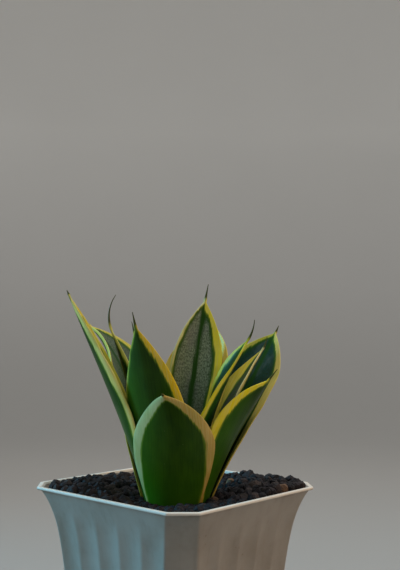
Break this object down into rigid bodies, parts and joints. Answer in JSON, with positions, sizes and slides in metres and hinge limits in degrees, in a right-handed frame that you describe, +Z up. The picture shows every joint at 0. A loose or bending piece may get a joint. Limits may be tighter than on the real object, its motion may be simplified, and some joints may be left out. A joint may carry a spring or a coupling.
{
  "type": "potted snake plant",
  "caption": "Low bird's-nest snake plant with variegated, spine-tipped leaves in an open rosette, growing in dark granules in a fluted square plastic pot with cut corners.",
  "frame": {"origin": "middle of the pot's underside, where it stands on a table", "axes": "+Z up; X and Y square to the pot's flat sides; the front leaf leans towards the corner between +X and -Y"},
  "size_m": [0.12, 0.12, 0.2193],
  "materials": {
    "pot_plastic": "off-white moulded plastic with a soft sheen",
    "gravel": "near-black, rough, dry granules",
    "leaf": null,
    "rhizome": "fibrous pale stem, hidden in the granules; wood stands in for plant tissue"
  },
  "bodies": {
    "root": {"pot": "pot_plastic", "gravel": "gravel", "rhizome": "rhizome", "leaf_front": "leaf", "leaf_left": "leaf", "leaf_left_rear": "leaf", "leaf_left_front": "leaf", "leaf_left_inner": "leaf", "leaf_left_hidden": "leaf", "leaf_right": "leaf", "leaf_right_rear": "leaf", "leaf_right_front": "leaf", "leaf_right_inner": "leaf", "leaf_back": "leaf", "leaf_back_inner": "leaf"}
  },
  "joints": []
}
